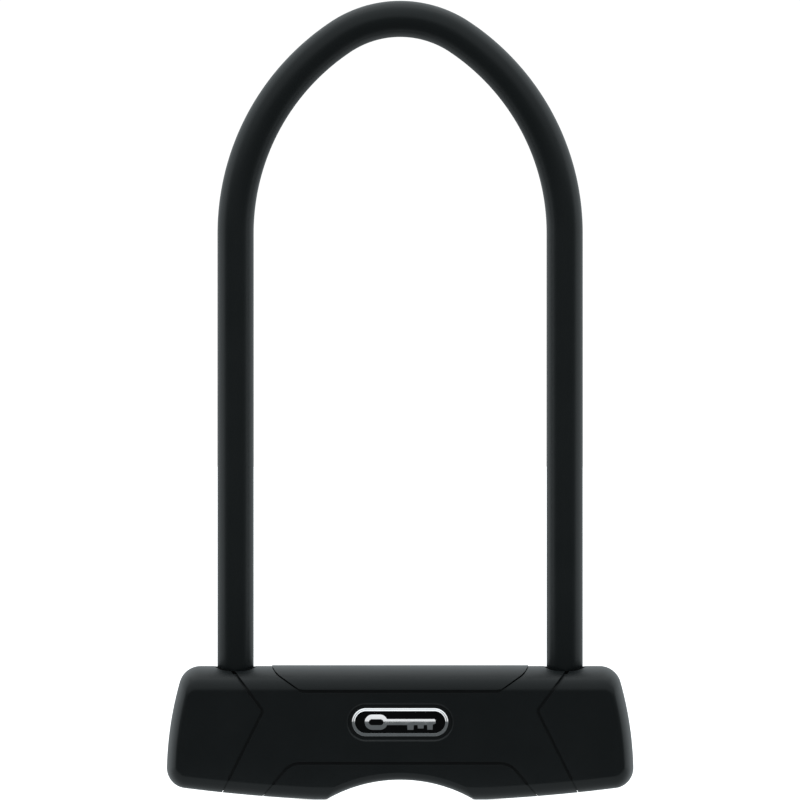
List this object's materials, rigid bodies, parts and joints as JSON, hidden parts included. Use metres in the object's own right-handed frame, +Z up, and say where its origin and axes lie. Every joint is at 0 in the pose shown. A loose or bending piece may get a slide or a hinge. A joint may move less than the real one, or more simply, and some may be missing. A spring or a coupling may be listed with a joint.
{
  "type": "u lock",
  "caption": "Bicycle u lock: coated steel shackle with a pointed arch, moulded crossbar with end caps, badge, thumb recess, and a wafer cylinder that drives its bolts.",
  "frame": {"origin": "middle of the crossbar's underside, level with the two toes it stands on", "axes": "+Z up along the shackle's legs, +X to the right along the crossbar, front face with the badge towards -Y"},
  "size_m": [0.1718, 0.03, 0.2938],
  "materials": {
    "casing_plastic": "satin, fine moulded texture",
    "shackle_coating": "satin",
    "chrome": "polished",
    "gloss_black": "gloss",
    "blackened_steel": "phosphated, matt",
    "hardened_steel": "ground",
    "brass": "turned",
    "nickel_silver": "stamped",
    "rubber": "matt",
    "acetal": "satin"
  },
  "bodies": {
    "crossbar": {"centre_cover": "casing_plastic", "left_end_cap": "casing_plastic", "right_end_cap": "casing_plastic", "top_trim": "casing_plastic", "bottom_trim": "casing_plastic", "badge_rim": "chrome", "badge_plate": "gloss_black", "badge_emblem": "chrome", "crossbar_tube": "blackened_steel", "left_end_plug": "blackened_steel", "right_end_plug": "blackened_steel", "left_end_pin": "hardened_steel", "right_end_pin": "hardened_steel", "left_leg_seal": "rubber", "right_leg_seal": "rubber", "left_foot_buffer": "rubber", "right_foot_buffer": "rubber", "left_bolt_guide": "acetal", "right_bolt_guide": "acetal", "cylinder_body": "brass", "left_cylinder_pin": "hardened_steel", "right_cylinder_pin": "hardened_steel", "keyhole_bezel": "gloss_black", "shutter_spring": "hardened_steel"},
    "shackle": {"shackle_bar": "hardened_steel", "shackle_sleeve": "shackle_coating"},
    "key_plug": {"plug": "brass", "drill_guard": "hardened_steel", "plug_clip": "hardened_steel", "cam_disc": "hardened_steel", "wafer_spring_1": "hardened_steel", "wafer_spring_2": "hardened_steel", "wafer_spring_3": "hardened_steel", "wafer_spring_4": "hardened_steel", "wafer_spring_5": "hardened_steel", "wafer_spring_6": "hardened_steel"},
    "right_bolt": {"right_bolt": "hardened_steel"},
    "left_bolt": {"left_bolt": "hardened_steel"},
    "shutter": {"keyhole_shutter": "acetal"},
    "wafer_1": {"wafer_1": "nickel_silver"},
    "wafer_2": {"wafer_2": "nickel_silver"},
    "wafer_3": {"wafer_3": "nickel_silver"},
    "wafer_4": {"wafer_4": "nickel_silver"},
    "wafer_5": {"wafer_5": "nickel_silver"},
    "wafer_6": {"wafer_6": "nickel_silver"}
  },
  "joints": [
    {"name": "shackle_lift", "type": "slide", "parent": "crossbar", "child": "shackle", "axis": [0, 0, 1], "range_m": [0, 0.06]},
    {"name": "plug_turn", "type": "hinge", "parent": "crossbar", "child": "key_plug", "pos_m": [0, 0, 0.022], "axis": [0, 0, 1], "range_deg": [-90, 0]},
    {"name": "right_bolt_slide", "type": "slide", "parent": "crossbar", "child": "right_bolt", "axis": [1, 0, 0], "range_m": [0, 0.0045]},
    {"name": "left_bolt_slide", "type": "slide", "parent": "crossbar", "child": "left_bolt", "axis": [-1, 0, 0], "range_m": [0, 0.0045]},
    {"name": "shutter_turn", "type": "hinge", "parent": "crossbar", "child": "shutter", "pos_m": [0, 0, 0.009], "axis": [0, 0, 1], "range_deg": [-90, 0], "stiffness_Nm_per_rad": 0.01},
    {"name": "wafer_1_slide", "type": "slide", "parent": "key_plug", "child": "wafer_1", "axis": [1, 0, 0], "range_m": [-0.0008, 0], "stiffness_N_per_m": 400, "springref_m": -0.0008, "deforming": ["wafer_spring_1"]},
    {"name": "wafer_2_slide", "type": "slide", "parent": "key_plug", "child": "wafer_2", "axis": [-1, 0, 0], "range_m": [-0.0008, 0], "stiffness_N_per_m": 400, "springref_m": -0.0008, "deforming": ["wafer_spring_2"]},
    {"name": "wafer_3_slide", "type": "slide", "parent": "key_plug", "child": "wafer_3", "axis": [1, 0, 0], "range_m": [-0.0008, 0], "stiffness_N_per_m": 400, "springref_m": -0.0008, "deforming": ["wafer_spring_3"]},
    {"name": "wafer_4_slide", "type": "slide", "parent": "key_plug", "child": "wafer_4", "axis": [-1, 0, 0], "range_m": [-0.0008, 0], "stiffness_N_per_m": 400, "springref_m": -0.0008, "deforming": ["wafer_spring_4"]},
    {"name": "wafer_5_slide", "type": "slide", "parent": "key_plug", "child": "wafer_5", "axis": [1, 0, 0], "range_m": [-0.0008, 0], "stiffness_N_per_m": 400, "springref_m": -0.0008, "deforming": ["wafer_spring_5"]},
    {"name": "wafer_6_slide", "type": "slide", "parent": "key_plug", "child": "wafer_6", "axis": [-1, 0, 0], "range_m": [-0.0008, 0], "stiffness_N_per_m": 400, "springref_m": -0.0008, "deforming": ["wafer_spring_6"]}
  ],
  "couplings": [
    {"joint": "right_bolt_slide", "follows": "plug_turn", "m_per_rad": -0.0027009},
    {"joint": "left_bolt_slide", "follows": "plug_turn", "m_per_rad": -0.0027009}
  ]
}
